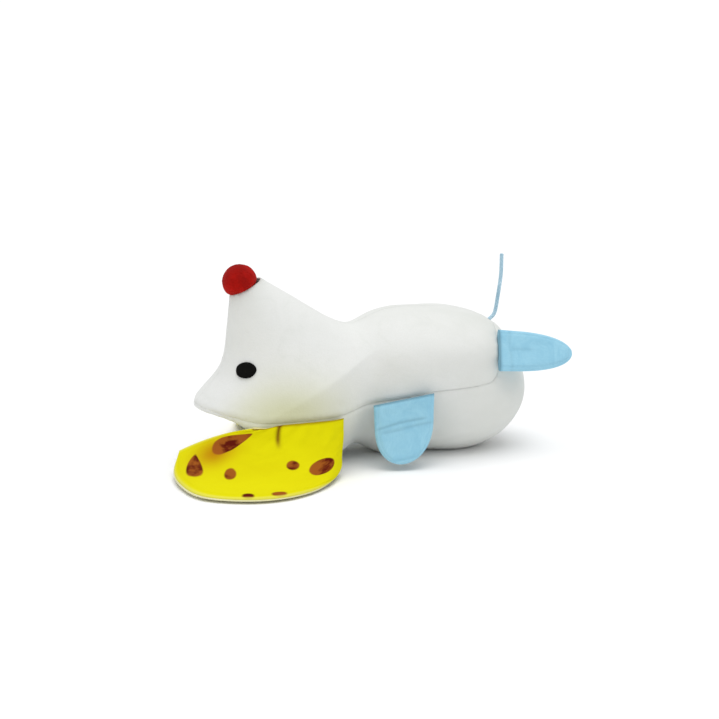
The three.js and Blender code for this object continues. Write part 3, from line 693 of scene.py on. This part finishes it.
def make_eye(name, node, side):
    out = outward(EYE_CENTRE[None])[0]
    across = EYE_ACROSS - (EYE_ACROSS @ out) * out
    across /= np.linalg.norm(across)
    up = np.cross(out, across)
    rings, spokes = 16, 72
    r = np.r_[np.linspace(0, 0.8, rings - 6), np.linspace(0.86, 1.0, 6)]
    points, lift = [], []
    for k, share in enumerate(r):
        for j in range(spokes if k else 1):
            a = 2 * np.pi * j / spokes
            edge = 1 + 0.012 * math.sin(5 * a + 1) + 0.01 * math.sin(3 * a)
            points.append(EYE_CENTRE + share * edge * (across * EYE_HALF[0] * math.cos(a)
                                                       + up * EYE_HALF[1] * math.sin(a)))
            lift.append(0.35 + 0.75 * math.sqrt(max(1 - share ** 3, 0)))
    points = np.array(points)
    for _ in range(6):
        points = points - outward(points) * toy_field(points)[:, None]
    normal = outward(points)
    stitch = 0.05 * np.sin(((points - EYE_CENTRE) @ across) * 2 * np.pi / 0.55)
    top = points + normal * (np.array(lift) + stitch)[:, None]
    under = points - normal * 0.35
    n = len(points)

    def ring(k, j):
        return 0 if k == 0 else 1 + (k - 1) * spokes + j % spokes
    faces = [(0, ring(1, j), ring(1, j + 1)) for j in range(spokes)]
    for k in range(1, len(r) - 1):
        for j in range(spokes):
            faces.append((ring(k, j), ring(k + 1, j), ring(k + 1, j + 1), ring(k, j + 1)))
    below = [tuple(i + n for i in reversed(f)) for f in faces]
    last = len(r) - 1
    walls = [(ring(last, j), ring(last, j) + n, ring(last, j + 1) + n, ring(last, j + 1))
             for j in range(spokes)]
    both = np.vstack([top, under])
    if side > 0:
        both = both * np.array([1, -1, 1])
        faces, below, walls = ([tuple(reversed(f)) for f in fs] for fs in (faces, below, walls))
    eye = add_mesh(name, to_row(both), faces + below + walls, BLACK)
    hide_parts(node)
    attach(eye, "toy")


make_nose()
make_eye("eye_patch_right", "eye_right", -1)
make_eye("eye_patch_left", "eye_left", 1)

# ------------------------------------------------------------------ ears
EAR_SAG = [[-51.6, -31.2, 16.6], [-64, -40, 5], [-79, -43.5, 2.8], [-95, -38, 5], [-105, -18.5, 19]]
EAR_RIM = [
    [-54, -32.5, 6.5], [-57.3, -40.8, 2.4], [-70, -57.5, 1.4], [-86, -66.4, 1.4], [-103, -66.4, 1.4],
    [-121, -55.5, 1.5], [-126, -37, 1.8], [-124.5, -18, 3.4], [-119.5, -8.5, 9.3],
]
OUT_EAR_SAG = [[-50, -33, 16], [-58, -44, 5], [-66, -48, 3], [-75, -45, 6], [-84, -38, 14.5]]
OUT_EAR_RIM = [
    [-51.5, -33, 7.5], [-43, -44, 2.6], [-33, -54, 1.4], [-23, -66, 1.4], [-26, -80, 1.4],
    [-42, -88, 1.4], [-59, -86, 1.4], [-71.5, -71, 1.6], [-75, -53, 3.2], [-79, -42.5, 9],
]
EAR_ENDS, OUT_EAR_ENDS = (-51.6, -91.0), (-51.6, -89.5)
# each brown spot is an oval, in shares across and along the pattern piece: its centre, its half length
# towards its narrow end, its half width, and how much it narrows
SPOTS = [
    ((0.845, 0.81), (0.075, -0.055), (0.025, 0.055), 0.4),
    ((0.89, 0.37), (-0.01, -0.22), (0.065, -0.03), 0.4),
    ((0.23, 0.615), (-0.09, 0.05), (0, -0.135), 0),
    ((0.67, 0.66), (0.02, 0.025), (0.03, -0.055), 0),
    ((0.425, 0.475), (-0.035, 0.01), (0.01, -0.065), 0),
    ((0.5, 0.945), (-0.02, 0), (0.01, -0.04), 0),
    ((0.4, 0.945), (-0.025, 0.005), (0.01, -0.035), 0),
]
TUCK_AT, TUCK_LEAN, TUCK_LENGTH, TUCK_HALF_WIDTH = 0.725, 0.58, 0.3, 1.1
EAR_SIZE = (62.0, 46.0)


def ear_surface(ends, sag, rim):
    """The ear as a patch from its sewn edge (v = 0) to its rim (v = 1), on the mouse's right side."""
    x = np.linspace(ends[0], ends[1], 9)
    order = np.argsort(SEAM_LINE[:, 0])
    z = np.interp(x, SEAM_LINE[order, 0], SEAM_LINE[order, 1]) - 0.5
    z -= 1.4 * ramp(np.linspace(0, 1, 9), 0.7, 1.0)
    sewn = side_point(x, z, -1)
    sewn = spline(sewn + outward(sewn) * 1.15)
    sag, rim = spline(sag), spline(rim)

    def at(u, v):
        return ((1 - v)[:, None] ** 2 * sewn(u) + 2 * (v * (1 - v))[:, None] * sag(u)
                + (v * v)[:, None] * rim(u))

    def up(u, v, e=0.01):
        du = at(np.minimum(u + e, 1), v) - at(np.maximum(u - e, 0), v)
        dv = at(u, np.minimum(v + e, 1)) - at(u, np.maximum(v - e, 0))
        n = np.cross(du, dv)
        return n / np.linalg.norm(n, axis=1)[:, None]
    return at, up


def spot_distance(u, v):
    """Roughly millimetres to the nearest spot's edge, below 0 inside."""
    best = np.full(len(u), 9.0)
    for centre, half_length, half_width, narrowing in SPOTS:
        axes = np.array([half_length, half_width]).T
        along, across = np.linalg.inv(axes) @ np.stack([u - centre[0], v - centre[1]])
        across = across / (1 - narrowing * np.clip(along, -1, 1))
        size = math.sqrt(abs(np.linalg.det(axes)) * EAR_SIZE[0] * EAR_SIZE[1])
        best = np.minimum(best, (np.hypot(along, across) - 1) * size)
    return best


def ear_ply(name, surface, lift, thickness, reach, material, side, seed, padded_edge):
    """One ply of an ear: a closed sheet with a thinned, turned edge."""
    at, up = surface
    across, along = 130, 84
    u, v = np.meshgrid(np.linspace(0, 1, across), np.linspace(0, 1, along) ** 0.94 * reach, indexing="ij")
    u, v = u.ravel(), v.ravel()
    base, normal = at(u, v), up(u, v)
    in_from_edge = np.minimum(np.minimum(u, 1 - u) * EAR_SIZE[0], (reach - v) * EAR_SIZE[1])
    edge = np.sqrt(np.clip(in_from_edge / 2.2, 0, 1))
    from_tuck = (u - TUCK_AT + TUCK_LEAN * v) * EAR_SIZE[0]
    tuck = bell(from_tuck, TUCK_HALF_WIDTH) * (1 - ramp(v, 0.5 * TUCK_LENGTH, TUCK_LENGTH))
    ridges = bell(np.abs(from_tuck) - 2.4, 1.2) * (1 - ramp(v, 0.1, 0.4))
    seam_line = bell(in_from_edge - 1.9, 0.5)
    flat = np.stack([u * EAR_SIZE[0], v * EAR_SIZE[1], np.zeros(len(u))], 1)
    waves = 0.34 * bumps(flat, 9.0, seed) + 0.14 * bumps(flat, 3.6, seed + 1)
    radial = 0.16 * np.sin(u * 46 + 3 * bumps(flat, 20.0, seed + 2)) * (1 - ramp(v, 0.05, 0.4))
    relief = (waves + radial) * np.minimum(edge * 1.2, 1) * padded_edge
    relief = relief - (0.8 * tuck - 0.25 * ridges + 0.32 * seam_line) * padded_edge
    close = lift * (0.35 + 0.65 * edge)
    half = thickness / 2 * (0.3 + 0.7 * edge)
    top = base + normal * (close + half + relief)[:, None]
    under = base + normal * (close - half + (relief if padded_edge else 0))[:, None]
    n = len(u)

    def spot(i, j):
        return i * along + j
    quads = [(spot(i, j), spot(i + 1, j), spot(i + 1, j + 1), spot(i, j + 1))
             for i in range(across - 1) for j in range(along - 1)]
    below = [tuple(k + n for k in reversed(q)) for q in quads]
    ring = ([spot(i, 0) for i in range(across)] + [spot(across - 1, j) for j in range(1, along)]
            + [spot(i, along - 1) for i in range(across - 2, -1, -1)]
            + [spot(0, j) for j in range(along - 2, 0, -1)])
    walls = [(ring[k], ring[k] + n, ring[(k + 1) % len(ring)] + n, ring[(k + 1) % len(ring)])
             for k in range(len(ring))]
    points, faces = np.vstack([top, under]), quads + below + walls
    if side > 0:
        points = points * np.array([1, -1, 1])
        faces = [tuple(reversed(f)) for f in faces]
    uv = np.stack([u * EAR_SIZE[0], v * EAR_SIZE[1]], 1) * MM
    # Painted shade in the ear's cupped middle under the head.
    painted_cup_shade = 0.85 * bell(u - 0.87, 0.1) * bell(v - 0.58, 0.2)
    # Painted highlight along the outer rim.
    rim = 0.75 * (1 - ramp(in_from_edge, 0.3, 1.4)) * ramp(v, 0.2, 0.5)
    # Painted shadow along the sewn edge, under the overhang of the head.
    shadow_beside_head = 0.8 * (1 - ramp(v, 0.0, 0.035))
    layers = {"spots": spot_distance(u, v), "painted_cup_shade": painted_cup_shade,
              "crease_shade": np.clip(tuck + shadow_beside_head, 0, 1), "rim": rim,
              "seam": 0.4 * seam_line}
    layers = {key: np.r_[values, values] for key, values in layers.items()}
    obj = add_mesh(name, to_row(points), faces, material, np.vstack([uv, uv]), layers)
    mesh = bmesh.new()
    mesh.from_mesh(obj.data)
    bmesh.ops.recalc_face_normals(mesh, faces=mesh.faces)
    mesh.to_mesh(obj.data)
    mesh.free()
    area = 0.0
    grid = base.reshape(across, along, 3)
    a, b = np.diff(grid, axis=0)[:, :-1], np.diff(grid, axis=1)[:-1]
    area = float(np.linalg.norm(np.cross(a, b), axis=2).sum()) * MM * MM
    width = float(np.linalg.norm(np.diff(grid[:, along // 2], axis=0), axis=1).sum()) * MM
    length = float(np.linalg.norm(np.diff(grid[across // 2], axis=0), axis=1).sum()) * MM
    return obj, area, width, length


def make_ear(word, side, ends, sag, rim, seed):
    surface = ear_surface(ends, sag, rim)
    joint = JOINTS[f"ear_{word}_lift"]
    axis = Vector(joint["axis"])
    out = Vector((0, float(side), -0.25))
    out = (out - axis * out.dot(axis)).normalized()
    plies = (
        (f"ear_print_{word}", f"ear_lining_{word}", 1.25, 0.9, 0.988, YELLOW, "yellow_print", seed, 1.0),
        (f"ear_back_{word}", f"ear_backing_{word}", 0.0, 1.0, 1.0, CREAM, "cream_backing", seed, 0.0),
    )
    for name, node, lift, thickness, reach, material, slot, number, relief in plies:
        ply, area, width, length = ear_ply(name, surface, lift, thickness, reach, material, side, number,
                                           relief)
        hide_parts(node)
        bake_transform(ply)
        flat = [max(width, 1.02 * area / length), length]
        min(area, flat[0] * flat[1])


make_ear("right", -1, EAR_ENDS, EAR_SAG, EAR_RIM, 21)
make_ear("left", 1, OUT_EAR_ENDS, OUT_EAR_SAG, OUT_EAR_RIM, 31)


# ------------------------------------------------------------------ arms and feet
def bezier(p0, p1, p2, p3, count=60):
    t = np.linspace(0, 1, count)[:, None]
    p0, p1, p2, p3 = (np.array(p, float) for p in (p0, p1, p2, p3))
    return (1 - t) ** 3 * p0 + 3 * (1 - t) ** 2 * t * p1 + 3 * (1 - t) * t * t * p2 + t ** 3 * p3


STRAIGHT_ROWS = 34


def make_flap(name, node, joint_name, tip, width, shoulder, fullness, bow, creases, seed):
    """A soft felt flap, sewn in along its hinge line and thin at its sewn edge."""
    joint = JOINTS[joint_name]
    hinge = to_pattern(joint["pos_m"])
    across = np.array(joint["axis"], float)
    along = np.array(tip, float) * np.array([1, 1 if hinge[1] < 0 else -1, 1]) - hinge
    lean = float(along @ across)
    down = along - lean * across
    length = float(np.linalg.norm(down))
    down /= length
    face = np.cross(across, down)
    side = -1.0 if hinge[1] < 0 else 1.0
    if face[1] * side < 0:
        face = -face
    half = width / 2
    end = bezier([half * 0.97, length * shoulder], [half * 0.93, length * fullness],
                 [half * 0.42, length], [0, length])
    across_count, along_count = 47, 74
    rounding = np.linspace(1, 0.012, along_count - STRAIGHT_ROWS) ** 1.7
    t = np.concatenate([np.linspace(0.3, length * shoulder, STRAIGHT_ROWS, endpoint=False),
                        length - (length * (1 - shoulder)) * rounding])
    reach = np.where(t < length * shoulder, half * (1 - 0.03 * t / (length * shoulder)),
                     np.interp(t, end[:, 1], end[:, 0]))
    s = np.sin(np.linspace(-1, 1, across_count) * np.pi / 2)
    ti, si = np.meshgrid(t, s, indexing="ij")
    wide = np.repeat(reach[:, None], across_count, 1)
    edge_gap = np.minimum((1 - np.abs(si)) * wide, (length - ti) * 0.8 + 0.02)
    flat = np.stack([si * wide, ti, np.zeros_like(ti)], -1).reshape(-1, 3)
    fibre = (0.2 * bumps(flat, 7.0, seed) + 0.1 * bumps(flat, 2.4, seed + 1)).reshape(ti.shape)
    thick = 1.5 * (0.42 + 0.58 * np.sqrt(ramp(edge_gap, 0.0, 3.4)))
    thick = thick * np.sqrt(np.clip(edge_gap / 0.7, 0, 1))
    topstitch = bell(edge_gap - 1.7, 0.35)
    dent = np.zeros_like(ti)
    for place, lean_share, depth, breadth, from_s, to_s, along_axis in creases:
        if along_axis:
            gap = si * wide - place
            window = ramp(ti, from_s, from_s + 2) * (1 - ramp(ti, to_s - 2, to_s))
        else:
            gap = ti - place - lean_share * si * wide - 0.5 * np.sin(si * 2.3 + place)
            window = ramp(si, from_s, from_s + 0.3) * (1 - ramp(si, to_s - 0.3, to_s))
        dent = dent + depth * bell(gap, breadth) * window
    seam = 0.3 * bell(ti - 1.1, 0.5)
    bend = -bow * np.sin(np.pi * np.clip(ti / length, 0, 1)) * ramp(ti, 0, 6)
    front = thick + fibre * ramp(edge_gap, 0, 2) - dent - 0.18 * topstitch - seam
    back = -thick + fibre * 0.5 * ramp(edge_gap, 0, 2) + 0.12 * topstitch
    # Painted shade in the creases and the topstitching, and a painted shadow along the sewn edge under the
    # body.
    crease_shade = np.clip(dent / 0.6 + 0.1 * topstitch + 1.0 * bell(ti - 0.4, 0.8), 0, 1)
    shift = lean * ti / length

    def place(w):
        return (hinge + across * (si * wide + shift)[..., None] + down * ti[..., None]
                + face * (w + bend)[..., None]).reshape(-1, 3)
    n = ti.size

    def spot(i, j):
        return i * across_count + j
    quads = [(spot(i, j), spot(i, j + 1), spot(i + 1, j + 1), spot(i + 1, j))
             for i in range(len(t) - 1) for j in range(across_count - 1)]
    below = [tuple(k + n for k in reversed(q)) for q in quads]
    ring = ([spot(0, j) for j in range(across_count)] + [spot(i, across_count - 1) for i in range(1, len(t))]
            + [spot(len(t) - 1, j) for j in range(across_count - 2, -1, -1)]
            + [spot(i, 0) for i in range(len(t) - 2, 0, -1)])
    walls = [(ring[k], ring[(k + 1) % len(ring)], ring[(k + 1) % len(ring)] + n, ring[k] + n)
             for k in range(len(ring))]
    uv = np.stack([(si * wide).ravel(), ti.ravel()], 1) * MM
    obj = add_mesh(name, to_row(np.vstack([place(front), place(back)])), quads + below + walls, BLUE,
                   np.vstack([uv, uv]), {"crease_shade": np.r_[crease_shade.ravel(), crease_shade.ravel() * 0.3]})
    mesh = bmesh.new()
    mesh.from_mesh(obj.data)
    bmesh.ops.remove_doubles(mesh, verts=mesh.verts, dist=0.00001)
    bmesh.ops.recalc_face_normals(mesh, faces=mesh.faces)
    mesh.to_mesh(obj.data)
    mesh.free()
    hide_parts(node)
    tuple(to_row(hinge))
    tuple(to_row(hinge + down * 6))
    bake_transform(obj)


# place, lean, depth, breadth, from, to, whether it runs down the flap
ARM_CREASES = [(10.6, 0.05, 0.28, 0.7, -0.85, 1.1, False), (12.8, -0.03, 0.22, 0.7, -1.1, 0.95, False)]
FOOT_CREASES = [(5.6, 0.0, 0.1, 0.8, -1.2, 1.2, False), (-0.4, 0.0, 0.14, 0.8, 5.0, 17.0, True)]
ARM_WIDTH, FOOT_WIDTH = 27.6, 19.4
ARM_TIP = (-24.6, -37.4, 3.2)
FOOT_TIPS = {"right": (59.4, -24.6, 44.4), "left": (54.2, -11.8, 33.1)}
for word, seed in (("right", 41), ("left", 51)):
    make_flap(f"arm_felt_{word}", f"arm_{word}", f"arm_{word}_lift", ARM_TIP,
              ARM_WIDTH, 0.42, 0.84, 1.3, ARM_CREASES, seed)
    make_flap(f"foot_felt_{word}", f"foot_{word}", f"foot_{word}_swing", FOOT_TIPS[word],
              FOOT_WIDTH, 0.24, 0.8, 0.0, FOOT_CREASES, seed + 4)

# ------------------------------------------------------------------ finishes of the nodes inside
FINISHES = {
    FILL: ("stuffing_upper", "stuffing_lower"),
    CASE: ("case_cup", "case_lid"),
    GEAR: ("cord_drum", "idler_gear", "shaker_rotor"),
    STEEL: ("case_screw_1", "case_screw_2", "case_screw_3", "drum_axle", "idler_axle", "rotor_axle",
            "shaker_weight"),
    SPRING: ("mainspring",),
    CORD_CLOTH: ("cord_wound",),
}
for material, names in FINISHES.items():
    for name in names:
        slots = frame["nodes"][name].material_slots
        if not slots:
            frame["nodes"][name].data.materials.append(material)
        for place in slots:
            place.material = material


# ------------------------------------------------------------------ floor and light
def make_stage():
    n = Nodes("floor")
    mottle = n.noise(n.coordinates("object"), 3.0, 3.0, 0.5)
    colour = n.mix(mottle, (0.965, 0.965, 0.965, 1), (0.975, 0.975, 0.975, 1))
    material = n.finish(colour, 0.9, Specular_IOR_Level=0.0)
    size = 14.0
    floor = add_mesh("floor", [(-size, -size, 0), (size, -size, 0), (size, size, 0), (-size, size, 0)],
                     [(0, 1, 2, 3)], material, smooth=False)


SKY_STRENGTH, SUN_STRENGTH, SUN_SIZE_DEG = 0.62, 1.54, 56
SUN_DIRECTION = (-0.02, 0.06, -1.0)


def make_light():
    world = bpy.data.worlds.new("soft_light")
    world.use_nodes = True
    world.node_tree.nodes["Background"].inputs["Color"].default_value = (0.985, 0.99, 1.0, 1)
    world.node_tree.nodes["Background"].inputs["Strength"].default_value = SKY_STRENGTH
    bpy.context.scene.world = world
    data = bpy.data.lights.new("high_soft_light", "SUN")
    data.energy, data.angle = SUN_STRENGTH, math.radians(SUN_SIZE_DEG)
    light = bpy.data.objects.new("high_soft_light", data)
    light.rotation_euler = Vector(SUN_DIRECTION).to_track_quat("-Z", "Y").to_euler()
    bpy.context.scene.collection.objects.link(light)
    bpy.context.scene.view_settings.view_transform = "Standard"
    bpy.context.scene.view_settings.look = "None"


make_stage()
make_light()
